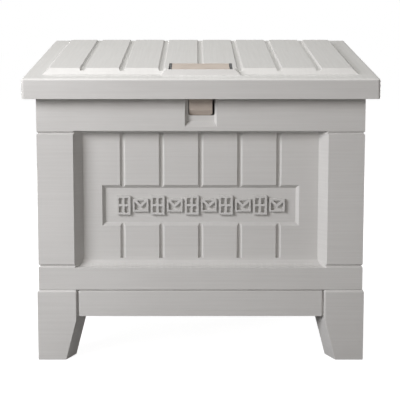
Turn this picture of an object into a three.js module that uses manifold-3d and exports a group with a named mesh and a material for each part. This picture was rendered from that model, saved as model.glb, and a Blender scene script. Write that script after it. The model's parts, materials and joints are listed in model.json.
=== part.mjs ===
// Parcel drop box: a moulded resin box on four corner legs, closed by a sloping
// hinged lid that carries a coded lock.
// Millimetres. X runs to the right, -Y is the front, Z is up, and the origin is
// on the floor under the middle of the lid.
import * as THREE from "three";
import { ConvexGeometry } from "three/addons/geometries/ConvexGeometry.js";
import { mergeVertices } from "three/addons/utils/BufferGeometryUtils.js";
import Module from "manifold-3d";

const wasm = await Module();
wasm.setup();

// ---------------------------------------------------------------- driving sizes
const GAP = 0.3; // between pieces that touch
const BOARD = 71.6; // pitch of the moulded boards, on the lid and on the walls

const LID = {
  width: 640,
  depth: 500,
  front: 519, // height of the top surface at the front edge
  slope: 0.1318, // rise towards the hinge, about 7.5 degrees
  lip: 36, // height of the turned-down edge
  lipWall: 20,
  skin: 5,
  round: 4.5,
};
const FIELD = { x: 275.5, front: -195, back: 181, rise: 10.5, bevel: 11.5, wall: 13, hollow: 1.5 };
const RIB = { at: [150, 235], thick: 4 };
const BAY = { x: 62.5, front: -212, side: 11, nose: 6 };
const BODY = { width: 594, depth: 450, wall: 44, bottom: 131.7, rim: -26 };
const PANEL = { top: 424.3, bottom: 172, margin: 65.7, bevel: 15.5, depth: 21 };
const GROOVE = { mouth: 5.3, floor: 1.8, depth: 4.5 };
const LID_GROOVE = { mouth: 6.1, floor: 3.4, depth: 4.8 };
const SEAM = { half: 4, depth: 3, inset: 4 };
const PLAQUE = { x: 181, top: 322.9, bottom: 247.2, bevel: 6, depth: 6 };
const ORNAMENT = {
  count: 10,
  height: 35,
  parcel: 25.6,
  envelope: 28.6,
  envelopeHeight: 23.8,
  between: 4.3,
  stroke: 4,
  rise: 5,
};
// Section of the cove along the foot of a wall's field: depth in the wall, height above the foot.
const COVE = [[30, -5], [30, 19], [21, 19], [20, 11.5], [17, 6.5], [12, 3], [11, -5]];
const LEG = { x: 299.8, y: 227.8, wall: 37.4, reach: 70.9, foot: 51.4, draft: 15, taper: 74.7 };
const BASE = { top: 131.4, bottom: 81.7, setback: 3.4, apron: 16, chamfer: 3.6 };
const FLOOR = { bottom: 121, gap: 1 };
const BEAM = { x: 90, half: 15, bottom: 90 };
const CATCH = { x: 28.8, bottom: 431.5, bevel: 4.2, sill: 10, depth: 8 };
const POCKET = { left: -22.5, right: 26, bottom: 451.7, depth: 38, round: 5 };
const NOSE = {
  x: 21,
  front: -219,
  back: -199,
  bottom: 452.1,
  top: 511,
  wall: 2.5,
  round: 4,
  floor: 470,
  bevelDepth: 8,
  bevelHeight: 11,
};
const FLANGE = { x: 30, front: -228, back: -192, bottom: 508 };
const BOLT = { x: 7, front: -213.5, back: -199.5, bottom: 458.2, top: 466.2, tip: 2 };
const MOTOR = { x: 6, front: -214, back: -204, bottom: 473, top: 498, shaft: 1.5, reach: 6 };
const LINER = { x: 299, y: 229, bottom: -22.5, top: -19 };
const KEYPAD = { x: 58, front: -209.7, back: -140.3, bottom: -9, top: 3.5, flange: 6, board: 1.6 };
const COVER = {
  x: 53,
  front: -208.5,
  thick: 3,
  axisY: -143.5,
  axisZ: 8.2,
  barrel: 2.2,
  pin: 1.1,
  hole: 1.35,
};
const KEY = {
  x: 12.5,
  y: 15,
  bottom: -2,
  top: 5.2,
  columns: 6,
  rows: 2,
  pitchX: 16.5,
  pitchY: 21,
  frontY: -188.5,
};
const CELLS = { x: 31, front: -133, back: -77, top: 1, wall: 1.5, radius: 7, axisZ: -9.2, pitch: 14.5 };
const CELL_COUNT = 4;
const HINGE = {
  x: 190,
  width: 80,
  axisY: 237.5,
  axisZ: 535.2,
  barrel: 6,
  pin: 2.5,
  leaf: 2.5,
  bottom: 480,
  knuckle: 20,
};
const STRIKE = { x: 18, bottom: 453, top: 477, thick: 1.5, reach: 8, leg: 2, legBottom: 469 };
const SCREW = { x: 12.5, z: 473, shank: 1.6, head: 3, thick: 1, hole: 5 };
const SEAL = { x: 260, y: 188, width: 6, thick: 2.9 };

// ---------------------------------------------------------------- materials
const finish = (color, roughness, metalness = 0) =>
  new THREE.MeshStandardMaterial({ color, roughness, metalness });
const RESIN = finish(0xcac7c3, 0.6);
const LINING = finish(0xb4b1ac, 0.65);
const TRIM = finish(0xb0a498, 0.45);
const BLACK_PLASTIC = finish(0x2c2c2e, 0.5);
const KEY_RUBBER = finish(0x56575a, 0.75);
const SEAL_RUBBER = finish(0x1f1f20, 0.85);
const STEEL = finish(0xb9bbbd, 0.35, 0.9);
const BOARD_GREEN = finish(0x2f5a3a, 0.6);
const CELL_JACKET = finish(0x3b4a55, 0.35);

// ---------------------------------------------------------------- shape helpers
const point = (x, y, z) => new THREE.Vector3(x, y, z);

/** Turns a closed geometry into a solid that can be joined and cut. */
function solidOf(geometry) {
  const bare = geometry.clone();
  bare.deleteAttribute("normal");
  bare.deleteAttribute("uv");
  const merged = mergeVertices(bare, 1e-3);
  return new wasm.Manifold(
    new wasm.Mesh({
      numProp: 3,
      vertProperties: merged.attributes.position.array,
      triVerts: new Uint32Array(merged.index.array),
    }),
  );
}

function geometryOf(solid) {
  const mesh = solid.getMesh();
  return new THREE.BufferGeometry()
    .setAttribute("position", new THREE.BufferAttribute(mesh.vertProperties, 3))
    .setIndex(new THREE.BufferAttribute(mesh.triVerts, 1));
}

/** Joins the solids of the first list and cuts away those of the second. */
function carve(kept, removed) {
  const join = (list) => list.map(solidOf).reduce((whole, part) => whole.add(part));
  return geometryOf(removed.length ? join(kept).subtract(join(removed)) : join(kept));
}

function block(x0, x1, y0, y1, z0, z1) {
  return new THREE.BoxGeometry(x1 - x0, y1 - y0, z1 - z0).translate(
    (x0 + x1) / 2,
    (y0 + y1) / 2,
    (z0 + z1) / 2,
  );
}

function shapeOf(outline) {
  if (outline instanceof THREE.Shape) return outline;
  return new THREE.Shape(outline.map(([u, v]) => new THREE.Vector2(u, v)));
}

const extrude = (outline, depth) =>
  new THREE.ExtrudeGeometry(shapeOf(outline), { depth, bevelEnabled: false, curveSegments: 6 });

/** Outline in X and Y, from z0 up to z1. */
const alongZ = (outline, z0, z1) => extrude(outline, z1 - z0).translate(0, 0, z0);

/** Outline in Y and Z, from x0 to x1. */
function alongX(outline, x0, x1) {
  const turn = new THREE.Matrix4().makeBasis(point(0, 1, 0), point(0, 0, 1), point(1, 0, 0));
  return extrude(outline, x1 - x0).applyMatrix4(turn).translate(x0, 0, 0);
}

/** Outline in X and Z, from y0 to y1. */
function alongY(outline, y0, y1) {
  const turn = new THREE.Matrix4().makeBasis(point(1, 0, 0), point(0, 0, 1), point(0, -1, 0));
  return extrude(outline, y1 - y0).applyMatrix4(turn).translate(0, y1, 0);
}

/** Rectangle from u0 to u1 and v0 to v1, with its two lower corners rounded. */
function roundBottomed(u0, u1, v0, v1, radius) {
  const shape = new THREE.Shape();
  shape.moveTo(u1, v1);
  shape.lineTo(u0, v1);
  shape.absarc(u0 + radius, v0 + radius, radius, Math.PI, 1.5 * Math.PI, false);
  shape.absarc(u1 - radius, v0 + radius, radius, 1.5 * Math.PI, 2 * Math.PI, false);
  return shape;
}

/** Ring of points around a rectangle with rounded corners, at one height. */
function ring(x, y, radius, z) {
  const points = [];
  for (const [cornerX, cornerY, start] of [[1, 1, 0], [-1, 1, 1], [-1, -1, 2], [1, -1, 3]]) {
    for (let step = 0; step <= 3; step++) {
      const angle = ((start + step / 3) * Math.PI) / 2;
      points.push(
        point(
          cornerX * (x - radius) + radius * Math.cos(angle),
          cornerY * (y - radius) + radius * Math.sin(angle),
          z,
        ),
      );
    }
  }
  return points;
}

/** Block centred on the Z axis, with round upright corners and a rounded top edge. */
function softBlock(x, y, z0, z1, corner, edge) {
  const points = ring(x, y, corner, z0);
  for (let step = 0; step <= 3; step++) {
    const angle = (step / 3) * (Math.PI / 2);
    const inset = edge * (1 - Math.cos(angle));
    const radius = Math.max(corner - inset, 0.2);
    points.push(...ring(x - inset, y - inset, radius, z1 - edge + edge * Math.sin(angle)));
  }
  return new ConvexGeometry(points);
}

/** Solid between a rectangle [x0, x1, v0, v1] at w = a and another at w = b. */
function frustum(place, rectA, a, rectB, b) {
  const corners = ([u0, u1, v0, v1], w) => [
    place(u0, v0, w),
    place(u1, v0, w),
    place(u0, v1, w),
    place(u1, v1, w),
  ];
  return new ConvexGeometry([...corners(rectA, a), ...corners(rectB, b)]);
}
const facingUp = (x, y, z) => point(x, y, z);
const facingFront = (x, z, y) => point(x, y, z);

function rod(radius, x0, x1, y, z, sides = 16) {
  return new THREE.CylinderGeometry(radius, radius, x1 - x0, sides)
    .rotateZ(Math.PI / 2)
    .translate((x0 + x1) / 2, y, z);
}

/** Round hole or shank along Y. */
const roundAlongY = (radius, y0, y1, x, z, sides = 12) =>
  new THREE.CylinderGeometry(radius, radius, y1 - y0, sides).translate(x, (y0 + y1) / 2, z);

const lidTopAt = (y) => LID.front + LID.slope * (y + LID.depth / 2);

/** Lays a piece drawn level, with the lid's top surface at z = 0, along the lid's slope. */
function onSlope(geometry) {
  const lean = new THREE.Matrix4().set(1, 0, 0, 0, 0, 1, 0, 0, 0, LID.slope, 1, lidTopAt(0), 0, 0, 0, 1);
  return geometry.applyMatrix4(lean);
}

// ---------------------------------------------------------------- assembly
const dropBox = new THREE.Group();

function add(name, geometry, material, position = [0, 0, 0], turn = 0) {
  const mesh = new THREE.Mesh(geometry, material);
  mesh.name = name;
  mesh.position.set(...position);
  mesh.rotation.z = turn;
  dropBox.add(mesh);
}

// ---------------------------------------------------------------- wall panels
// A wall is drawn with its outer face at y = 0, its thickness towards +y and its
// middle at x = 0, at its real height.

/** V groove across the face that marks where a stile meets a rail. */
function seamAcross(x0, x1, z) {
  return alongX([[-1, z - SEAM.half], [-1, z + SEAM.half], [SEAM.depth, z]], x0, x1);
}

/** The same V, carried round the upright edge of a corner wall. */
function seamRoundEdge(side, half, z) {
  const wedge = [[half + 1, z - SEAM.half], [half + 1, z + SEAM.half], [half - SEAM.depth, z]];
  const outline = wedge.map(([x, height]) => [side * x, height]);
  return alongY(side > 0 ? outline : outline.reverse(), -1, BODY.wall + 1);
}

/** The board field: a recess with sloping sides, and a cove along its foot. */
function boardField(fieldX) {
  const { top, bottom, bevel, depth } = PANEL;
  const floorX = fieldX - bevel;
  const floor = [-floorX, floorX, bottom + 3.5, top - 5];
  const recess = frustum(facingFront, [-fieldX, fieldX, bottom, top], 0, floor, depth);
  const mouth = block(-fieldX, fieldX, -1, 0, bottom, top);
  const section = COVE.map(([y, height]) => [y, bottom + height]);
  return carve([recess, mouth], [alongX(section, -fieldX, fieldX)]);
}

/** Upright V groove between two boards, in the field's floor. */
function boardGroove(x) {
  const { mouth, floor, depth } = GROOVE;
  const [face, bed] = [PANEL.depth - 0.5, PANEL.depth + depth];
  const section = [[x - mouth, face], [x + mouth, face], [x + floor, bed], [x - floor, bed]];
  return alongZ(section, PANEL.bottom + 14, PANEL.top - 3);
}

/** Block of a wall up to the rim; worldY gives the depth in the box of a local point. */
function wallBlock(half, worldY) {
  const points = [];
  for (const x of [-half, half]) {
    for (const y of [0, BODY.wall]) {
      points.push(point(x, y, BODY.bottom), point(x, y, lidTopAt(worldY(x, y)) + BODY.rim));
    }
  }
  return new ConvexGeometry(points);
}

function wall({ half, fieldX, worldY, corners, extra = [], cuts = [] }) {
  const removed = [boardField(fieldX), ...cuts];
  const grooves = Math.round((fieldX - PANEL.bevel) / BOARD) - 1;
  for (let index = -grooves; index <= grooves; index++) {
    removed.push(boardGroove(index * BOARD));
  }
  for (const height of [PANEL.top - SEAM.inset, PANEL.bottom + SEAM.inset]) {
    removed.push(seamAcross(-half - 1, -fieldX + 2, height));
    removed.push(seamAcross(fieldX - 2, half + 1, height));
    if (corners) {
      removed.push(seamRoundEdge(-1, half, height), seamRoundEdge(1, half, height));
    }
  }
  const shell = carve([wallBlock(half, worldY)], removed);
  return extra.length ? carve([shell, ...extra], []) : shell;
}

// ---------------------------------------------------------------- front wall details
/** Recess in the boards that frames the row of relief ornaments. */
function plaqueRecess() {
  const face = PANEL.depth;
  const { x, top, bottom, bevel } = PLAQUE;
  return carve(
    [
      frustum(
        facingFront,
        [-x, x, bottom, top],
        face,
        [-x + bevel, x - bevel, bottom + bevel, top - bevel],
        face + PLAQUE.depth,
      ),
      block(-x, x, face - 1, face, bottom, top),
    ],
    [],
  );
}

/** Carton tied both ways with string, in relief from its root at y1 out to y0. */
function parcelRelief(x, z, y0, y1) {
  const [half, tall, stroke] = [ORNAMENT.parcel / 2, ORNAMENT.height / 2, ORNAMENT.stroke];
  const [paneX, paneZ] = [half, tall].map((size) => (size - 1.5 * stroke) / 2);
  const panes = [];
  for (const side of [-1, 1]) {
    for (const level of [-1, 1]) {
      const [middleX, middleZ] = [x + side * (paneX + stroke / 2), z + level * (paneZ + stroke / 2)];
      const [left, right] = [middleX - paneX, middleX + paneX];
      panes.push(block(left, right, y0 - 1, y1 + 1, middleZ - paneZ, middleZ + paneZ));
    }
  }
  return carve([block(x - half, x + half, y0, y1, z - tall, z + tall)], panes);
}

/** Envelope with its flap folded down, in relief from its root at y1 out to y0. */
function envelopeRelief(x, z, y0, y1) {
  const [half, tall, stroke] = [ORNAMENT.envelope / 2, ORNAMENT.envelopeHeight / 2, ORNAMENT.stroke];
  const [innerX, innerZ] = [half - stroke * 0.8, tall - stroke * 0.8];
  const shape = shapeOf([
    [x - half, z - tall],
    [x + half, z - tall],
    [x + half, z + tall],
    [x - half, z + tall],
  ]);
  shape.holes.push(
    shapeOf([[x - innerX + stroke, z + innerZ], [x + innerX - stroke, z + innerZ], [x, z + stroke / 2]]),
    shapeOf([
      [x - innerX, z - innerZ],
      [x - innerX, z + innerZ - stroke * 0.7],
      [x, z - stroke],
      [x + innerX, z + innerZ - stroke * 0.7],
      [x + innerX, z - innerZ],
    ]),
  );
  return alongY(shape, y0, y1);
}

/** Row of parcels and envelopes that stand out of the plaque's floor. */
function ornaments() {
  const floor = PANEL.depth + PLAQUE.depth;
  const middle = (PLAQUE.top + PLAQUE.bottom) / 2;
  const widths = Array.from({ length: ORNAMENT.count }, (_, index) =>
    index % 2 ? ORNAMENT.envelope : ORNAMENT.parcel,
  );
  const row = widths.reduce((sum, width) => sum + width, 0) + ORNAMENT.between * (ORNAMENT.count - 1);
  let left = -row / 2;
  return widths.map((width, index) => {
    const relief = index % 2 ? envelopeRelief : parcelRelief;
    const made = relief(left + width / 2, middle, floor - ORNAMENT.rise, floor + 1);
    left += width + ORNAMENT.between;
    return made;
  });
}

/** Recess in the top rail that leaves room for a finger under the lock's nose. */
function catchRecess() {
  const { x, bottom, bevel, sill, depth } = CATCH;
  const sky = LID.front;
  const bed = [bevel - x, x - bevel, bottom + sill, sky];
  return frustum(facingFront, [-x, x, bottom, sky], -0.01, bed, depth);
}

/** Pocket that the nose drops into. */
function catchPocket() {
  const { left, right, bottom, depth, round } = POCKET;
  return alongY(roundBottomed(left, right, bottom, LID.front, round), CATCH.depth - 1, depth);
}

/** Clearance holes for the strike plate's two screws. */
const screwHoles = (y0, y1) =>
  [-SCREW.x, SCREW.x].map((x) => roundAlongY(SCREW.shank + 0.4, y0, y1, x, SCREW.z));

function addWalls() {
  const [halfX, halfY] = [BODY.width / 2, BODY.depth / 2];
  const corner = { half: halfX, fieldX: halfX - PANEL.margin, corners: true };
  const front = wall({
    ...corner,
    worldY: (x, y) => y - halfY,
    extra: ornaments(),
    cuts: [
      plaqueRecess(),
      catchRecess(),
      catchPocket(),
      ...screwHoles(POCKET.depth - 1, POCKET.depth + SCREW.hole),
    ],
  });
  add("front_panel", front, RESIN, [0, -halfY, 0]);
  const rear = wall({ ...corner, worldY: (x, y) => halfY - y });
  add("rear_panel", rear, RESIN, [0, halfY, 0], Math.PI);
  const sideHalf = halfY - BODY.wall - GAP;
  const side = (direction) =>
    wall({ half: sideHalf, fieldX: 2 * BOARD + PANEL.bevel, worldY: (x) => direction * x, corners: false });
  add("right_panel", side(1), RESIN, [halfX, 0, 0], Math.PI / 2);
  add("left_panel", side(-1), RESIN, [-halfX, 0, 0], -Math.PI / 2);
}

// ---------------------------------------------------------------- base
/** Corner leg: two walls in an L, tapered towards the foot, with drafted inner sides. */
function leg() {
  const { wall: thick, reach, foot, draft, taper } = LEG;
  const levels = [
    [BASE.top, reach, BASE.chamfer],
    [BASE.top - BASE.chamfer, reach, 0],
    [taper, reach, 0],
    [0, foot, 0],
  ];
  const arm = (place) =>
    new ConvexGeometry(
      levels.flatMap(([z, length, inset]) => [
        place(-inset, inset, z),
        place(-length, inset, z),
        place(-length - draft, thick, z),
        place(-inset, thick, z),
      ]),
    );
  return carve([arm((x, y, z) => point(x, y, z)), arm((x, y, z) => point(-y, -x, z))], []);
}

/** Rail between two legs. half is where the legs' faces start, either side of the middle. */
function apron(half) {
  const [face, back] = [BASE.setback, BASE.setback + BASE.apron];
  const lean = (y) => half - (LEG.draft / LEG.wall) * y - 0.5;
  const level = (z, inset) => [
    [lean(face + 3 + inset) - 2.8, face + inset],
    [lean(face + 3 + inset), face + 3 + inset],
    [lean(back), back],
  ].flatMap(([x, y]) => [point(x, y, z), point(-x, y, z)]);
  return new ConvexGeometry([
    ...level(BASE.bottom, 0),
    ...level(BASE.top - BASE.chamfer, 0),
    ...level(BASE.top, BASE.chamfer),
  ]);
}

function addBase() {
  const { x, y, reach } = LEG;
  const quarter = Math.PI / 2;
  add("front_right_leg", leg(), RESIN, [x, -y, 0], 0);
  add("rear_right_leg", leg(), RESIN, [x, y, 0], quarter);
  add("rear_left_leg", leg(), RESIN, [-x, y, 0], 2 * quarter);
  add("front_left_leg", leg(), RESIN, [-x, -y, 0], -quarter);
  add("front_apron", apron(x - reach), RESIN, [0, -y, 0], 0);
  add("rear_apron", apron(x - reach), RESIN, [0, y, 0], 2 * quarter);
  add("right_apron", apron(y - reach), RESIN, [x, 0, 0], quarter);
  add("left_apron", apron(y - reach), RESIN, [-x, 0, 0], -quarter);

  const [floorX, floorY] = [x, y].map((half) => half - LEG.wall - FLOOR.gap);
  add("floor_panel", block(-floorX, floorX, -floorY, floorY, FLOOR.bottom, BASE.top), LINING);
  const beamY = y - BASE.setback - BASE.apron - FLOOR.gap;
  for (const [name, middle] of [["floor_beam_left", -BEAM.x], ["floor_beam_right", BEAM.x]]) {
    const [left, right] = [middle - BEAM.half, middle + BEAM.half];
    add(name, block(left, right, -beamY, beamY, BEAM.bottom, FLOOR.bottom - GAP), STEEL);
  }
}

// ---------------------------------------------------------------- strike and seal
/** Bent plate that the bolt locks behind, held clear of the pocket's rear wall by two legs. */
function strikePlate(wallY) {
  const { x, bottom, top, thick, reach, leg, legBottom } = STRIKE;
  const back = wallY - reach;
  const front = back - thick;
  const windowX = BOLT.x + 2;
  const window = block(-windowX, windowX, front - 1, back + 1, BOLT.bottom - 2.5, BOLT.top + 2);
  const legs = [[-x, leg - x], [x - leg, x]].map(([left, right]) =>
    block(left, right, back - 0.5, wallY - GAP, legBottom, top),
  );
  const plate = block(-x, x, front, back, bottom, top);
  return carve([plate, ...legs], [window, ...screwHoles(front - 1, back + 1)]);
}

/** Screw through the strike plate into the wall behind it. */
function strikeScrew(x, wallY) {
  const back = wallY - STRIKE.reach - STRIKE.thick - GAP;
  const head = roundAlongY(SCREW.head, back - SCREW.thick, back, x, SCREW.z);
  const shank = roundAlongY(SCREW.shank, back - SCREW.thick, wallY + SCREW.hole - 1, x, SCREW.z);
  return carve([head, shank], []);
}

function addStrike() {
  const wallY = POCKET.depth - BODY.depth / 2;
  add("strike_plate", strikePlate(wallY), STEEL);
  add("strike_screw_left", strikeScrew(-SCREW.x, wallY), STEEL);
  add("strike_screw_right", strikeScrew(SCREW.x, wallY), STEEL);
}

/** Gasket on the rim of the walls, behind the catch's pocket. */
function rimSeal() {
  const { x, y, width, thick } = SEAL;
  const shape = shapeOf([[-x, -y], [x, -y], [x, y], [-x, y]]);
  const [innerX, innerY] = [x - width, y - width];
  shape.holes.push(shapeOf([[-innerX, -innerY], [-innerX, innerY], [innerX, innerY], [innerX, -innerY]]));
  return onSlope(alongZ(shape, BODY.rim + GAP, BODY.rim + GAP + thick));
}

// ---------------------------------------------------------------- hinges
/** Outline, in Y and Z, of a barrel with a web that ends in the two given points. */
function barrelWeb(ends) {
  const around = Array.from({ length: 16 }, (_, index) => {
    const angle = (index / 8) * Math.PI;
    return [HINGE.axisY + HINGE.barrel * Math.cos(angle), HINGE.axisZ + HINGE.barrel * Math.sin(angle)];
  });
  return (x0, x1) =>
    new ConvexGeometry([...around, ...ends].flatMap(([y, z]) => [point(x0, y, z), point(x1, y, z)]));
}

const hingeHole = (left, right) => rod(HINGE.pin + 0.1, left - 1, right + 1, HINGE.axisY, HINGE.axisZ);

function hingeBox(x) {
  const { width, axisZ, leaf, bottom, knuckle } = HINGE;
  const [left, right] = [x - width / 2, x + width / 2];
  const face = BODY.depth / 2 + GAP;
  const back = face + leaf;
  const web = barrelWeb([[face, axisZ - 23], [face, axisZ - 5], [back, axisZ - 23]]);
  return carve(
    [
      block(left, right, face, back, bottom, axisZ - 7),
      web(left, left + knuckle),
      web(right - knuckle, right),
    ],
    [hingeHole(left, right)],
  );
}

function hingeLid(x) {
  const { width, axisY, barrel, leaf, knuckle } = HINGE;
  const [left, right] = [x - width / 2, x + width / 2];
  const under = (y) => lidTopAt(y) - LID.lip - GAP;
  const web = barrelWeb([-barrel, barrel].map((offset) => [axisY + offset, under(axisY + offset) - 1]));
  const [front, back] = [BODY.depth / 2 + 6.5, LID.depth / 2 - 2];
  const plate = [
    [front, under(front) - leaf],
    [back, under(back) - leaf],
    [back, under(back)],
    [front, under(front)],
  ];
  const inset = knuckle + 2 * GAP;
  return carve([alongX(plate, left, right), web(left + inset, right - inset)], [hingeHole(left, right)]);
}

function addHinges() {
  for (const [side, x] of [["left", -HINGE.x], ["right", HINGE.x]]) {
    const half = HINGE.width / 2;
    add(`hinge_box_leaf_${side}`, hingeBox(x), STEEL);
    add(`hinge_lid_leaf_${side}`, hingeLid(x), STEEL);
    add(`hinge_pin_${side}`, rod(HINGE.pin, x - half, x + half, HINGE.axisY, HINGE.axisZ), STEEL);
  }
}

// ---------------------------------------------------------------- lid
/** Raised field of boards, and the bay in front of it that holds the keypad. */
function raisedBoards() {
  const { x, front, back, rise, bevel } = FIELD;
  const field = frustum(
    facingUp,
    [-x - bevel, x + bevel, front - bevel, back + bevel],
    0,
    [-x, x, front, back],
    rise,
  );
  const bay = frustum(
    facingUp,
    [-BAY.x - BAY.side, BAY.x + BAY.side, BAY.front - BAY.nose, front + 5],
    0,
    [-BAY.x, BAY.x, BAY.front, front + 5],
    rise,
  );
  const root = block(-x, x, BAY.front, back, -1, 1);
  return [field, bay, root];
}

/** Lengthwise channel between two boards of the lid. */
function lidGroove(x, front) {
  const { mouth, floor, depth } = LID_GROOVE;
  const [bed, top] = [FIELD.rise - depth, FIELD.rise + 0.5];
  const section = [[x - floor, bed], [x + floor, bed], [x + mouth, top], [x - mouth, top]];
  return alongY(section, front, LID.depth / 2);
}

function lidShell() {
  const { lip, skin, round } = LID;
  const [halfX, halfY] = [LID.width / 2, LID.depth / 2];
  const [innerX, innerY] = [halfX - LID.lipWall, halfY - LID.lipWall];
  const hollow = block(-innerX, innerX, -innerY, innerY, -lip - 1, -skin);
  const { x, front, back, wall: edge } = FIELD;
  const fieldHollow = block(edge - x, x - edge, front + edge, back - edge, -skin - 1, FIELD.hollow);
  const holeX = KEYPAD.x + GAP;
  const keypadHole = block(-holeX, holeX, KEYPAD.front - GAP, KEYPAD.back + GAP, -skin - 1, FIELD.rise + 1);
  const grooves = [];
  for (let index = -3; index <= 3; index++) {
    grooves.push(lidGroove(index * BOARD, index ? -halfY : KEYPAD.back - 2));
  }
  const ribs = RIB.at.flatMap((middle) => [-middle, middle]).flatMap((middle) => {
    const [left, right] = [middle - RIB.thick / 2, middle + RIB.thick / 2];
    return [
      block(left, right, -innerY - 1, innerY + 1, LINER.top + GAP, 0.5 - skin),
      block(left, right, front + edge - 1, back - edge + 1, -skin, FIELD.hollow + 0.5),
    ];
  });
  const body = carve(
    [softBlock(halfX, halfY, -lip, 0, round + 1.5, round), ...raisedBoards()],
    [hollow, fieldHollow, keypadHole, ...grooves],
  );
  return onSlope(carve([body, ...ribs], []));
}

function lidLiner() {
  const { x, y, bottom, top } = LINER;
  return onSlope(
    carve(
      [block(-x, x, -y, y, bottom, top)],
      [
        block(-NOSE.x - 1, NOSE.x + 1, NOSE.front - 1.5, NOSE.back + 1.5, bottom - 1, top + 1),
        block(-CELLS.x - 1, CELLS.x + 1, CELLS.front - 1, CELLS.back + 1, bottom - 1, top + 1),
      ],
    ),
  );
}

// ---------------------------------------------------------------- keypad
const keyCentres = [];
for (let row = 0; row < KEY.rows; row++) {
  for (let column = 0; column < KEY.columns; column++) {
    keyCentres.push([(column - (KEY.columns - 1) / 2) * KEY.pitchX, KEY.frontY + row * KEY.pitchY]);
  }
}

/** Rod on the cover's hinge line, drawn in place on the sloping lid. */
const coverRod = (radius, halfX) =>
  rod(radius, -halfX, halfX, COVER.axisY, lidTopAt(COVER.axisY) + COVER.axisZ, 12);

/** Frame that the keys sit in, with a cheek at each rear corner for the cover's pin. */
function keypadBezel() {
  const { x, front, back, bottom, top, flange } = KEYPAD;
  const cheekTop = FIELD.rise - GAP;
  const cheek = [[back - 22, top - 1], [back, top - 1], [back, cheekTop], [back - 7, cheekTop]];
  const cheekX = COVER.x + 0.5;
  const [wellX, wellY] = [KEY.x / 2 + 0.4, KEY.y / 2 + 0.4];
  const wells = keyCentres.map(([keyX, keyY]) =>
    block(keyX - wellX, keyX + wellX, keyY - wellY, keyY + wellY, KEY.bottom - 2, top + 1),
  );
  const frame = carve(
    [
      block(-x, x, front, back, bottom, top),
      block(-x - flange, x + flange, front - flange, back + flange, bottom, -LID.skin - GAP),
      alongX(cheek, -x, -cheekX),
      alongX(cheek, cheekX, x),
    ],
    wells,
  );
  return carve([onSlope(frame)], [coverRod(COVER.hole, x + 1)]);
}

/** Key cap with a crowned top, sitting in its well with room to travel. */
function keyCap(x, y) {
  return onSlope(softBlock(KEY.x / 2, KEY.y / 2, KEY.bottom, KEY.top, 2, 1.2).translate(x, y, 0));
}

/** Flip cover with its hinge barrel along the rear edge. */
function keypadCover() {
  const { x, front, axisY, thick, barrel, hole } = COVER;
  const [top, draft] = [FIELD.rise, 0.6];
  const face = [draft - x, x - draft, front + draft, axisY];
  const plate = onSlope(frustum(facingUp, [-x, x, front, axisY], top - thick, face, top));
  return carve([plate, coverRod(barrel, x)], [coverRod(hole, x + 1)]);
}

/** Circuit board under the keys, held against the frame. */
function keypadBoard() {
  const { x, front, back, bottom, board } = KEYPAD;
  const [inset, top] = [5, bottom - 2 * GAP];
  return onSlope(block(inset - x, x - inset, front + inset, back - inset, top - board, top));
}

function addKeypad() {
  add("keypad_bezel", keypadBezel(), BLACK_PLASTIC);
  add("keypad_cover", keypadCover(), TRIM);
  add("cover_pin", coverRod(COVER.pin, KEYPAD.x), STEEL);
  add("keypad_board", keypadBoard(), BOARD_GREEN);
  keyCentres.forEach(([x, y], index) => {
    add(`key_${index + 1}`, keyCap(x, y), KEY_RUBBER);
  });
}

// ---------------------------------------------------------------- lock
/** Nose that hangs from the lid into the front wall's pocket, open at the top. */
function latchHousing() {
  const { x, front, back, bottom, top, wall: thick, round, floor, bevelDepth, bevelHeight } = NOSE;
  const body = alongY(roundBottomed(-x, x, bottom, top, round), front, back);
  const flange = block(-FLANGE.x, FLANGE.x, FLANGE.front, FLANGE.back, FLANGE.bottom, top);
  const slant = [
    [front - 1, bottom - 1],
    [front + bevelDepth, bottom - 1],
    [front - 1, bottom + bevelHeight],
  ];
  const underBevel = alongX(slant, -x - 1, x + 1);
  const hollow = block(thick - x, x - thick, front + thick, back - thick, floor, top + 1);
  const boreX = BOLT.x + GAP;
  const bore = block(-boreX, boreX, BOLT.front - GAP, back + 1, BOLT.bottom - GAP, BOLT.top + GAP);
  const middle = (MOTOR.front + MOTOR.back) / 2;
  const slotHalf = 2 * MOTOR.shaft;
  const shaftSlot = block(-slotHalf, slotHalf, middle - slotHalf, middle + slotHalf, BOLT.top, floor + 1);
  return carve([body, flange], [underBevel, hollow, bore, shaftSlot]);
}

/** Sliding bolt with a bevelled tip. */
function latchBolt() {
  const { x, front, back, bottom, top, tip } = BOLT;
  const section = [[front, bottom], [back - tip, bottom], [back, bottom + tip], [back, top], [front, top]];
  return alongX(section, -x, x);
}

/** Small gear motor that stands in the nose, its shaft reaching down to the bolt. */
function latchMotor() {
  const { x, front, back, bottom, top, shaft, reach } = MOTOR;
  const stub = new THREE.CylinderGeometry(shaft, shaft, reach + 1, 12).rotateX(Math.PI / 2);
  stub.translate(0, (front + back) / 2, bottom + 1 - (reach + 1) / 2);
  return carve([block(-x, x, front, back, bottom, top), stub], []);
}

function addLock() {
  add("latch_housing", latchHousing(), TRIM);
  add("latch_bolt", latchBolt(), STEEL);
  add("latch_motor", latchMotor(), STEEL);
}

// ---------------------------------------------------------------- batteries
function addBatteries() {
  const { x, front, back, top, wall: thick, radius, pitch, axisZ } = CELLS;
  const bottom = LINER.top + 0.5;
  const tray = carve(
    [block(-x, x, front, back, bottom, top)],
    [block(-x + thick, x - thick, front + thick, back - thick, bottom - 1, top - thick)],
  );
  add("battery_box", onSlope(tray), BLACK_PLASTIC);
  for (let index = 0; index < CELL_COUNT; index++) {
    const middle = (index - (CELL_COUNT - 1) / 2) * pitch;
    const cell = roundAlongY(radius, front + 2.5, back - 3, middle, axisZ, 16);
    add(`battery_${index + 1}`, onSlope(cell), CELL_JACKET);
  }
  const door = block(-x, x, front - 0.5, back + 0.5, LINER.bottom, LINER.top);
  add("battery_door", onSlope(door), LINING);
}

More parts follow.
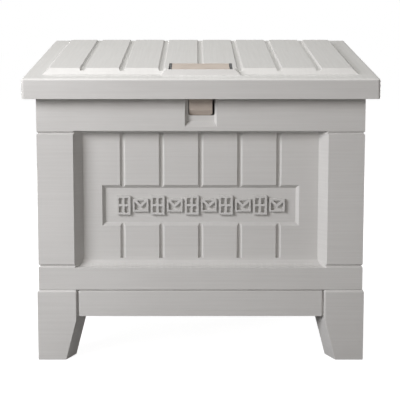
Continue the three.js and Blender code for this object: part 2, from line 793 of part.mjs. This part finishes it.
// ---------------------------------------------------------------- build
addBase();
addWalls();
addStrike();
add("rim_seal", rimSeal(), SEAL_RUBBER);
addHinges();
add("lid_shell", lidShell(), RESIN);
add("lid_liner", lidLiner(), LINING);
addKeypad();
addLock();
addBatteries();

export default dropBox;
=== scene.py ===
"""Looks of the parcel drop box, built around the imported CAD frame. Metres."""
import json
import math

import bpy
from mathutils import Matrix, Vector


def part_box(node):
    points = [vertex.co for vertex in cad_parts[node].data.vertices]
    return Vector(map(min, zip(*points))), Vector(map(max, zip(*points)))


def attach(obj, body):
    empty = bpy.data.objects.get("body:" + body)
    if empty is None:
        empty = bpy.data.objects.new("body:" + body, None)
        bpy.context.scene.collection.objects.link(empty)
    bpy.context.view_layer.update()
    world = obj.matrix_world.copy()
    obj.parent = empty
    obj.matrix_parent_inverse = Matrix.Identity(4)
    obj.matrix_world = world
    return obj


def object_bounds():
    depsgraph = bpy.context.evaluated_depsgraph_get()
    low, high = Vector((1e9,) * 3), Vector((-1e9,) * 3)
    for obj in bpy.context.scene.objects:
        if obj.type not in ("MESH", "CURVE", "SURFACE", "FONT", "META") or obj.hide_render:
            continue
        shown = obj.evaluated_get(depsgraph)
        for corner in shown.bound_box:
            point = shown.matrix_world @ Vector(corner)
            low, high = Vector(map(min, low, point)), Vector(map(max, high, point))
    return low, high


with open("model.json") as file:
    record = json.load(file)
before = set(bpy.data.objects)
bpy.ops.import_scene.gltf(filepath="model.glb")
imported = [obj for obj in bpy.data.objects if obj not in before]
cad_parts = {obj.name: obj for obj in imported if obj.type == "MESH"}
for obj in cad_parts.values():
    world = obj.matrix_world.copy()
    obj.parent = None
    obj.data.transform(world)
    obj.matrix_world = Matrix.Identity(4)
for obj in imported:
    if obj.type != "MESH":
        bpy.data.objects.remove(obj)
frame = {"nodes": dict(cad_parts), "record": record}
cad_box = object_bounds()
nodes = frame["nodes"]


# ------------------------------------------------------------------ node helpers
def new_material(name):
    """A material, its node tree, and the Principled shader that the tree ends in."""
    material = bpy.data.materials.new(name)
    material.use_nodes = True
    tree = material.node_tree
    tree.nodes.clear()
    output = tree.nodes.new("ShaderNodeOutputMaterial")
    shader = tree.nodes.new("ShaderNodeBsdfPrincipled")
    tree.links.new(shader.outputs["BSDF"], output.inputs["Surface"])
    return material, tree, shader


def add_node(tree, kind, **settings):
    """A node of the given kind, with its settings made."""
    node = tree.nodes.new(kind)
    for key, value in settings.items():
        setattr(node, key, value)
    return node


def noise(tree, coordinates, stretch, scale, detail, roughness=0.5):
    """Noise over the object's own coordinates, which are metres, each axis multiplied by stretch."""
    mapping = add_node(tree, "ShaderNodeMapping")
    mapping.inputs["Scale"].default_value = stretch
    texture = add_node(tree, "ShaderNodeTexNoise")
    texture.inputs["Scale"].default_value = scale
    texture.inputs["Detail"].default_value = detail
    texture.inputs["Roughness"].default_value = roughness
    tree.links.new(coordinates, mapping.inputs["Vector"])
    tree.links.new(mapping.outputs["Vector"], texture.inputs["Vector"])
    return texture.outputs["Fac"]


def maths(tree, operation, *values):
    """Math node over sockets or plain numbers."""
    node = add_node(tree, "ShaderNodeMath", operation=operation)
    for socket, value in zip(node.inputs, values):
        if isinstance(value, (int, float)):
            socket.default_value = value
        else:
            tree.links.new(value, socket)
    return node.outputs[0]


def ramp(tree, value, low, high, start, end):
    """value from low to high becomes start to end."""
    node = add_node(tree, "ShaderNodeMapRange")
    for key, number in (("From Min", low), ("From Max", high), ("To Min", start), ("To Max", end)):
        node.inputs[key].default_value = number
    tree.links.new(value, node.inputs["Value"])
    return node.outputs["Result"]


# Places of the Mix node's sockets, whose names repeat for each data type.
MIX_FACTOR = 0
MIX_NUMBERS = (2, 3)
MIX_COLOURS = (6, 7)
MIX_NUMBER_RESULT = 0
MIX_COLOUR_RESULT = 2


def tint(tree, factor, first, second):
    """The first colour at factor 0, the second at 1."""
    node = add_node(tree, "ShaderNodeMix", data_type="RGBA")
    for socket, colour in zip(MIX_COLOURS, (first, second)):
        node.inputs[socket].default_value = (*colour, 1)
    tree.links.new(factor, node.inputs[MIX_FACTOR])
    return node.outputs[MIX_COLOUR_RESULT]


def mottle(tree, value, dark, light):
    """Colour between dark and light over the middle of a noise's range."""
    return tint(tree, ramp(tree, value, 0.35, 0.65, 0.0, 1.0), dark, light)


def bump(tree, shader, layers):
    """Stacks bump layers (height socket, distance in metres, strength) onto the shader."""
    previous = None
    for height, distance, strength in layers:
        node = add_node(tree, "ShaderNodeBump")
        node.inputs["Distance"].default_value = distance
        node.inputs["Strength"].default_value = strength
        tree.links.new(height, node.inputs["Height"])
        if previous:
            tree.links.new(previous, node.inputs["Normal"])
        previous = node.outputs["Normal"]
    tree.links.new(previous, shader.inputs["Normal"])


# ------------------------------------------------------------------ materials
def resin(name, light, dark):
    """Moulded resin: faint grain along the boards, fine mould texture and slight mottling."""
    material, tree, shader = new_material(name)
    place = add_node(tree, "ShaderNodeTexCoord")
    coordinates = place.outputs["Object"]
    facing = add_node(tree, "ShaderNodeSeparateXYZ")
    tree.links.new(place.outputs["Normal"], facing.inputs[0])
    level = ramp(tree, maths(tree, "ABSOLUTE", facing.outputs["Z"]), 0.6, 0.8, 0.0, 1.0)
    upright_grain = noise(tree, coordinates, (5, 5, 260), 1.0, 5.0, 0.6)
    level_grain = noise(tree, coordinates, (220, 6, 6), 1.0, 5.0, 0.6)
    grain = add_node(tree, "ShaderNodeMix", data_type="FLOAT")
    tree.links.new(level, grain.inputs[MIX_FACTOR])
    for socket, texture in zip(MIX_NUMBERS, (upright_grain, level_grain)):
        tree.links.new(texture, grain.inputs[socket])
    streaks = grain.outputs[MIX_NUMBER_RESULT]
    clouds = noise(tree, coordinates, (1, 1, 1), 7.0, 4.0)
    stipple = noise(tree, coordinates, (1, 1, 1), 900.0, 2.0)
    streak_share = maths(tree, "MULTIPLY", streaks, 0.6)
    cloud_share = maths(tree, "MULTIPLY", clouds, 0.4)
    mixed = maths(tree, "ADD", streak_share, cloud_share)
    tree.links.new(mottle(tree, mixed, dark, light), shader.inputs["Base Color"])
    tree.links.new(ramp(tree, mixed, 0.3, 0.7, 0.58, 0.46), shader.inputs["Roughness"])
    shader.inputs["Specular IOR Level"].default_value = 0.45
    bump(tree, shader, [(streaks, 0.0004, 0.35), (stipple, 0.00006, 0.5)])
    return material


def plain_plastic(name, light, dark, roughness):
    """Fine-textured plastic or rubber with a little mottling."""
    material, tree, shader = new_material(name)
    coordinates = add_node(tree, "ShaderNodeTexCoord").outputs["Object"]
    clouds = noise(tree, coordinates, (1, 1, 1), 30.0, 4.0)
    stipple = noise(tree, coordinates, (1, 1, 1), 1200.0, 2.0)
    tree.links.new(mottle(tree, clouds, dark, light), shader.inputs["Base Color"])
    low, high = roughness
    tree.links.new(ramp(tree, clouds, 0.3, 0.7, low, high), shader.inputs["Roughness"])
    bump(tree, shader, [(stipple, 0.00005, 0.4)])
    return material


def brushed_metal(name, colour, roughness, stretch):
    """Metal with darker blotches, and brushing that runs along the axis with the least stretch."""
    material, tree, shader = new_material(name)
    coordinates = add_node(tree, "ShaderNodeTexCoord").outputs["Object"]
    brushing = noise(tree, coordinates, stretch, 1.0, 3.0)
    blotches = noise(tree, coordinates, (1, 1, 1), 60.0, 3.0)
    darker = tuple(channel * 0.8 for channel in colour)
    tree.links.new(mottle(tree, blotches, darker, colour), shader.inputs["Base Color"])
    shader.inputs["Metallic"].default_value = 1.0
    low, high = roughness
    tree.links.new(ramp(tree, brushing, 0.3, 0.7, low, high), shader.inputs["Roughness"])
    bump(tree, shader, [(brushing, 0.00003, 0.4)])
    return material


RESIN = resin("resin_shell", (0.61, 0.602, 0.585), (0.56, 0.551, 0.534))
LINING = resin("resin_lining", (0.50, 0.49, 0.47), (0.47, 0.46, 0.44))
TRIM = plain_plastic("lock_trim", (0.575, 0.502, 0.44), (0.54, 0.47, 0.412), (0.38, 0.48))
BLACK = plain_plastic("black_plastic", (0.028, 0.028, 0.030), (0.020, 0.020, 0.022), (0.42, 0.56))
KEYS = plain_plastic("key_rubber", (0.085, 0.086, 0.09), (0.07, 0.07, 0.075), (0.6, 0.75))
LEGEND = plain_plastic("key_legend", (0.55, 0.55, 0.54), (0.48, 0.48, 0.47), (0.55, 0.7))
SEAL = plain_plastic("seal_rubber", (0.022, 0.022, 0.022), (0.015, 0.015, 0.015), (0.7, 0.85))
STEEL = brushed_metal("steel", (0.58, 0.58, 0.57), (0.25, 0.42), (900, 40, 900))
BOARD = plain_plastic("circuit_board", (0.03, 0.12, 0.05), (0.02, 0.09, 0.04), (0.3, 0.4))
CELL = plain_plastic("cell_jacket", (0.05, 0.07, 0.09), (0.04, 0.05, 0.07), (0.25, 0.35))

SLOT_MATERIALS = {
    "resin_shell": RESIN,
    "resin_lining": LINING,
    "lock_trim": TRIM,
    "black_plastic": BLACK,
    "key_rubber": KEYS,
    "seal_rubber": SEAL,
    "steel": STEEL,
    "circuit_board": BOARD,
    "cell_jacket": CELL,
}
for part in frame["record"]["subparts"]:
    node = nodes[part["node"]]
    node.data.materials.clear()
    node.data.materials.append(SLOT_MATERIALS[part["material_slot"]])


# ------------------------------------------------------------------ rounded edges
def soften(obj, width):
    """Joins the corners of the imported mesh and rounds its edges, leaving its flat faces flat."""
    for polygon in obj.data.polygons:
        polygon.use_smooth = True
    weld = obj.modifiers.new("weld", "WELD")
    weld.merge_threshold = 0.00002
    edge = obj.modifiers.new("edge", "BEVEL")
    edge.width = width
    edge.segments = 3
    edge.limit_method = "ANGLE"
    edge.angle_limit = math.radians(20)
    edge.use_clamp_overlap = True
    weighted = obj.modifiers.new("flat faces", "WEIGHTED_NORMAL")
    weighted.mode = "FACE_AREA"
    weighted.weight = 90


LARGE_PARTS = ("lid_shell", "front_panel", "rear_panel", "left_panel", "right_panel")
FINE_PARTS = ("key", "cover", "strike", "latch", "hinge", "battery")


def edge_width(name):
    """Widest on the big mouldings, and narrowest on the lock, keypad, hinges and battery box."""
    if name in LARGE_PARTS:
        return 0.0012
    if name.startswith(FINE_PARTS):
        return 0.0004
    return 0.001


for name, node in nodes.items():
    soften(node, edge_width(name))


# ------------------------------------------------------------------ small hardware
LID_RISE = 0.1318  # the lid's rise towards its hinge, for each metre of depth
SLOPE = math.atan(LID_RISE)
UNDER_LID = (0, math.sin(SLOPE), -math.cos(SLOPE))


def mesh_object(name, vertices, faces, material):
    """Smooth object with its sharper edges kept crisp."""
    mesh = bpy.data.meshes.new(name)
    mesh.from_pydata(vertices, [], faces)
    mesh.validate()
    mesh.update()
    mesh.materials.append(material)
    for polygon in mesh.polygons:
        polygon.use_smooth = True
    made = bpy.data.objects.new(name, mesh)
    bpy.context.scene.collection.objects.link(made)
    crisp = made.modifiers.new("crisp", "EDGE_SPLIT")
    crisp.split_angle = math.radians(40)
    return made


def joined(shapes):
    """Vertices and faces of several shapes as one."""
    vertices, faces = [], []
    for shape_vertices, shape_faces in shapes:
        start = len(vertices)
        vertices += shape_vertices
        faces += [tuple(start + index for index in face) for face in shape_faces]
    return vertices, faces


def stacked_faces(rings, sides):
    """Faces of a closed stack of rings of points: its bottom, its sides and its top."""
    faces = [tuple(reversed(range(sides)))]
    for level in range(rings - 1):
        for step in range(sides):
            after = (step + 1) % sides
            low, high = level * sides, (level + 1) * sides
            faces.append((low + step, low + after, high + after, high + step))
    faces.append(tuple(range((rings - 1) * sides, rings * sides)))
    return faces


def circle(radius, level, sides):
    """Ring of points around the upright axis."""
    turns = (2 * math.pi * step / sides for step in range(sides))
    return [(radius * math.cos(a), radius * math.sin(a), level) for a in turns]


def hexagon(radius, level, sides):
    """Ring of points on a hexagon whose flats lie at the given radius."""
    points = []
    for step in range(sides):
        a = 2 * math.pi * step / sides
        side = (a + math.pi / 6) % (math.pi / 3) - math.pi / 6
        reach = radius / math.cos(side)
        points.append((reach * math.cos(a), reach * math.sin(a), level))
    return points


# Each ring's radius and height, in shares of the screw head's.
DOME_RINGS = ((1, 0), (1, 0.2), (0.93, 0.55), (0.78, 0.85), (0.62, 1.0))
SOCKET_RINGS = ((0.46, 1.0), (0.44, 0.93), (0.42, 0.3))


def button_head(radius, height):
    """Domed screw head with a hexagonal socket: its vertices and faces, standing on z = 0."""
    sides = 24
    rings = [circle(share * radius, level * height, sides) for share, level in DOME_RINGS]
    rings += [hexagon(share * radius, level * height, sides) for share, level in SOCKET_RINGS]
    vertices = [point for ring in rings for point in ring]
    return vertices, stacked_faces(len(rings), sides)


def screws(name, body, places, facing, radius, height):
    """One object of several screw heads, each at a place and pointing along facing."""
    turn = Vector(facing).to_track_quat("Z", "Y").to_matrix()
    head_vertices, head_faces = button_head(radius, height)
    heads = []
    for place in places:
        heads.append(([tuple(turn @ Vector(v) + Vector(place)) for v in head_vertices], head_faces))
    made = mesh_object(name, *joined(heads), STEEL)
    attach(made, body)


def middle(node):
    """Centre of a node's box."""
    low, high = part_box(node)
    return [(a + b) / 2 for a, b in zip(low, high)]


LEAF_THICKNESS = 0.0025


def hinge_screws():
    """Three screws in a row on each leaf that is fixed to the box, and one above them."""
    lower_row, upper_row = 0.011, 0.031
    for side in ("left", "right"):
        leaf = f"hinge_box_leaf_{side}"
        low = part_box(leaf)[0]
        x = middle(leaf)[0]
        plate_y = low.y + LEAF_THICKNESS
        places = [(x + offset, plate_y, low.z + lower_row) for offset in (-0.027, 0, 0.027)]
        places.append((x, plate_y, low.z + upper_row))
        screws(f"hinge_screws_{side}", "box", places, (0, 1, 0), 0.0038, 0.0018)


def lid_leaf_screws():
    """Flat heads under the ends of each leaf that is fixed to the lid."""
    from_front, from_end = 0.0085, 0.008
    for side in ("left", "right"):
        low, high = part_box(f"hinge_lid_leaf_{side}")
        y = low.y + from_front
        z = high.z - LEAF_THICKNESS - (high.y - y) * LID_RISE
        places = [(x, y, z) for x in (low.x + from_end, high.x - from_end)]
        screws(f"lid_leaf_screws_{side}", "lid", places, UNDER_LID, 0.003, 0.001)


def liner_under(y):
    """Height of the liner's underside at the given depth."""
    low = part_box("lid_liner")[0]
    return low.z + (y - low.y) * LID_RISE


def liner_screws():
    """Screws around the liner's border, outside the seal."""
    low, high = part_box("lid_liner")
    from_edge = 0.013
    columns = (-0.285, -0.17, -0.06, 0.06, 0.17, 0.285)
    side_rows = (-0.075, 0.075)
    places = []
    for y in (low.y + from_edge, high.y - from_edge):
        places += [(x, y, liner_under(y)) for x in columns]
    for x in (columns[0], columns[-1]):
        places += [(x, y, liner_under(y)) for y in side_rows]
    screws("liner_screws", "lid", places, UNDER_LID, 0.004, 0.0014)


# ------------------------------------------------------------------ raised strokes and beads
def bar(start, end, width, top, root):
    """Vertices and faces of a straight bar with round ends and a slightly narrower top."""
    along = (Vector(end) - Vector(start)).normalized()
    across = Vector((-along.y, along.x))
    end_steps = 6
    levels = ((root, width / 2), (top * 0.5, width / 2), (top, width * 0.36))
    vertices = []
    for level, half in levels:
        for centre, sign in ((Vector(start), -1), (Vector(end), 1)):
            for step in range(end_steps + 1):
                angle = math.pi * (step / end_steps - 0.5)
                place = centre + sign * half * (math.cos(angle) * along + math.sin(angle) * across)
                vertices.append((place.x, place.y, level))
    return vertices, stacked_faces(len(levels), 2 * (end_steps + 1))


def raised(name, body, bars, place, material):
    """One object of several bars, each (start, end, width, top, root), put in place by a function."""
    shapes = []
    for settings in bars:
        bar_vertices, bar_faces = bar(*settings)
        shapes.append(([tuple(place(Vector(v))) for v in bar_vertices], bar_faces))
    made = mesh_object(name, *joined(shapes), material)
    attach(made, body)


# Strokes of the key legends, in shares of the legend's half width and half height.
STROKES = {
    "top": ((-1, 1), (1, 1)),
    "upper left": ((-1, 0), (-1, 1)),
    "upper right": ((1, 0), (1, 1)),
    "middle": ((-1, 0), (1, 0)),
    "lower left": ((-1, -1), (-1, 0)),
    "lower right": ((1, -1), (1, 0)),
    "foot": ((-1, -1), (1, -1)),
    "flag": ((0, 1), (-0.8, 0.45)),
    "stem": ((0, -1), (0, 1)),
    "tick short": ((-1, 0), (-0.3, -0.7)),
    "tick long": ((-0.3, -0.7), (1, 0.7)),
    "rising": ((-1, -0.75), (1, 0.75)),
    "falling": ((-1, 0.75), (1, -0.75)),
}
# The strokes of 1 to 9, of 0, of the tick and of the cross.
LEGENDS = [
    ("flag", "stem"),
    ("top", "upper right", "middle", "lower left", "foot"),
    ("top", "upper right", "middle", "lower right", "foot"),
    ("upper left", "middle", "upper right", "lower right"),
    ("top", "upper left", "middle", "lower right", "foot"),
    ("top", "upper left", "middle", "lower left", "lower right", "foot"),
    ("top", "upper right", "lower right"),
    ("top", "upper left", "upper right", "middle", "lower left", "lower right", "foot"),
    ("top", "upper left", "upper right", "middle", "lower right", "foot"),
    ("top", "upper left", "upper right", "lower left", "lower right", "foot"),
    ("tick short", "tick long"),
    ("rising", "falling"),
]
ROW_ORDER = (*range(6, 12), *range(6))  # the rear row of keys, then the front row


def key_legends():
    """Numbers 1 to 9 and 0, a tick and a cross, moulded on the keys; 1 is at the rear left."""
    half_width, half_height = 0.0017, 0.0029
    stroke_width, rise, root = 0.0009, 0.0003, -0.0004
    middle_to_high_point = 0.0063
    for key_index, legend in zip(ROW_ORDER, LEGENDS):
        key = f"key_{key_index + 1}"
        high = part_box(key)[1]
        centre = middle(key)
        top = high.z - middle_to_high_point * LID_RISE

        def on_key(v):
            return (centre[0] + v.x, centre[1] + v.y, top + v.y * LID_RISE + v.z)

        bars = []
        for stroke in legend:
            start, end = [(x * half_width, y * half_height) for x, y in STROKES[stroke]]
            bars.append((start, end, stroke_width, rise, root))
        raised(f"legend_{key_index + 1}", f"button_{key_index + 1}", bars, on_key, LEGEND)


def liner_beads():
    """Long stiffening beads on the liner's underside, over the compartment."""
    columns = (-0.215, -0.143, -0.072, 0.072, 0.143, 0.215)
    rear, front = -0.165, 0.15  # counted from the middle of the box towards its front

    def under(v):
        return (v.x, -v.y, liner_under(-v.y) - v.z)

    bars = [((x, rear), (x, front), 0.009, 0.0016, -0.0006) for x in columns]
    raised("liner_beads", "lid", bars, under, LINING)


def battery_door_grip():
    """Five short ridges near the door's front edge."""
    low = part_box("battery_door")[0]
    half_length, pitch, from_front = 0.011, 0.0028, 0.009

    def under(v):
        y = low.y + from_front - v.y
        return (v.x, y, low.z + (y - low.y) * LID_RISE - v.z)

    bars = []
    for row in range(5):
        start, end = (-half_length, -row * pitch), (half_length, -row * pitch)
        bars.append((start, end, 0.0014, 0.0007, -0.0004))
    raised("battery_door_grip", "lid", bars, under, LINING)


def floor_plugs():
    """Four round rubber caps on the floor, at the likely places for anchor bolts. No holes are under them."""
    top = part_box("floor_panel")[1].z
    half_x, half_y = 0.19, 0.12
    sides = 28
    profile = ((0.0095, 0.0), (0.0095, 0.0009), (0.0088, 0.0014), (0.004, 0.0016), (0.0036, 0.0012))
    cap = [point for radius, height in profile for point in circle(radius, height, sides)]
    faces = stacked_faces(len(profile), sides)
    caps = []
    for x, y in ((-half_x, -half_y), (half_x, -half_y), (half_x, half_y), (-half_x, half_y)):
        caps.append(([(x + px, y + py, top + pz) for px, py, pz in cap], faces))
    plugs = mesh_object("floor_plugs", *joined(caps), SEAL)
    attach(plugs, "box")


hinge_screws()
lid_leaf_screws()
liner_screws()
key_legends()
liner_beads()
battery_door_grip()
floor_plugs()


# ------------------------------------------------------------------ floor, lights, camera
def studio_floor():
    """Pale floor that looks white to the camera and returns only a little light to the object."""
    mesh = bpy.data.meshes.new("studio_floor")
    size = 30
    corners = [(-size, -size, 0), (size, -size, 0), (size, size, 0), (-size, size, 0)]
    mesh.from_pydata(corners, [], [(0, 1, 2, 3)])
    floor = bpy.data.objects.new("studio_floor", mesh)
    bpy.context.scene.collection.objects.link(floor)
    floor.location.z = -0.0002
    material, tree, shader = new_material("floor_white")
    shader.inputs["Base Color"].default_value = (0.29, 0.29, 0.29, 1)
    shader.inputs["Roughness"].default_value = 0.9
    shader.inputs["Specular IOR Level"].default_value = 0.0
    shader.inputs["Emission Color"].default_value = (1, 1, 1, 1)
    place = add_node(tree, "ShaderNodeTexCoord").outputs["Object"]
    reach = add_node(tree, "ShaderNodeVectorMath", operation="LENGTH")
    tree.links.new(place, reach.inputs[0])
    rays = add_node(tree, "ShaderNodeLightPath")
    near, far = 0.5, 2.0
    white = ramp(tree, reach.outputs["Value"], near, far, 0.95, 1.0)
    glow = maths(tree, "MULTIPLY", rays.outputs["Is Camera Ray"], white)
    tree.links.new(glow, shader.inputs["Emission Strength"])
    mesh.materials.append(material)


def area_light(name, place, target, size, power, colour):
    """Rectangular lamp at a place, facing a target; its power is in watts."""
    data = bpy.data.lights.new(name, "AREA")
    data.shape = "RECTANGLE"
    data.size, data.size_y = size
    data.energy = power
    data.color = colour
    light = bpy.data.objects.new(name, data)
    bpy.context.scene.collection.objects.link(light)
    light.location = place
    light.rotation_euler = (Vector(target) - Vector(place)).to_track_quat("-Z", "Y").to_euler()


def studio_world(ambient, backdrop):
    """White surroundings: ambient lights the object, and backdrop is how bright the camera sees them."""
    world = bpy.data.worlds.new("studio")
    bpy.context.scene.world = world
    world.use_nodes = True
    tree = world.node_tree
    tree.nodes.clear()
    output = add_node(tree, "ShaderNodeOutputWorld")
    lit = add_node(tree, "ShaderNodeBackground")
    lit.inputs["Color"].default_value = (1, 1, 1, 1)
    lit.inputs["Strength"].default_value = ambient
    seen = add_node(tree, "ShaderNodeBackground")
    seen.inputs["Color"].default_value = (1, 1, 1, 1)
    seen.inputs["Strength"].default_value = backdrop
    rays = add_node(tree, "ShaderNodeLightPath")
    mix = add_node(tree, "ShaderNodeMixShader")
    tree.links.new(rays.outputs["Is Camera Ray"], mix.inputs[0])
    tree.links.new(lit.outputs[0], mix.inputs[1])
    tree.links.new(seen.outputs[0], mix.inputs[2])
    tree.links.new(mix.outputs[0], output.inputs["Surface"])


def studio_camera():
    """Camera at the photo's viewing angle, at the distance that goes with the box's assumed depth."""
    tilt = 6.84
    distance, height, sideways = 1.955, 0.5943, -0.009
    data = bpy.data.cameras.new("camera")
    data.lens = 99
    data.shift_x = 0.0106
    data.shift_y = -0.08
    camera = bpy.data.objects.new("camera", data)
    bpy.context.scene.collection.objects.link(camera)
    front = cad_box[0].y
    camera.location = (sideways, front - distance, height)
    camera.rotation_euler = (math.radians(90 - tilt), 0, 0)
    bpy.context.scene.camera = camera


studio_floor()
studio_world(0.0, 1.0)
# The rear and right side lights stand low, so that they light the walls more than the lid.
area_light("key", (-1.6, -1.36, 1.2), (0, 0, 0.5), (0.9, 0.9), 41, (1.0, 1.0, 1.03))
area_light("front", (-1.3, -2.2, 1.3), (0, 0, 0.4), (1.0, 1.0), 10, (1.0, 0.95, 0.9))
area_light("warm_fill", (1.7, -2.7, 0.9), (0, 0, 0.3), (1.2, 1.2), 11, (1.0, 0.94, 0.9))
area_light("top", (-0.3, 0.1, 2.6), (0, 0.05, 0.5), (1.6, 1.2), 40, (1.0, 1.0, 0.985))
area_light("rear", (-0.9, 2.7, 0.42), (0, 0, 0.3), (1.6, 0.7), 36, (1.0, 0.99, 0.97))
area_light("right_side", (2.6, 1.9, 0.45), (0, 0, 0.3), (1.0, 0.7), 68, (1.0, 0.98, 0.96))
studio_camera()
scene = bpy.context.scene
scene.view_settings.view_transform = "Standard"
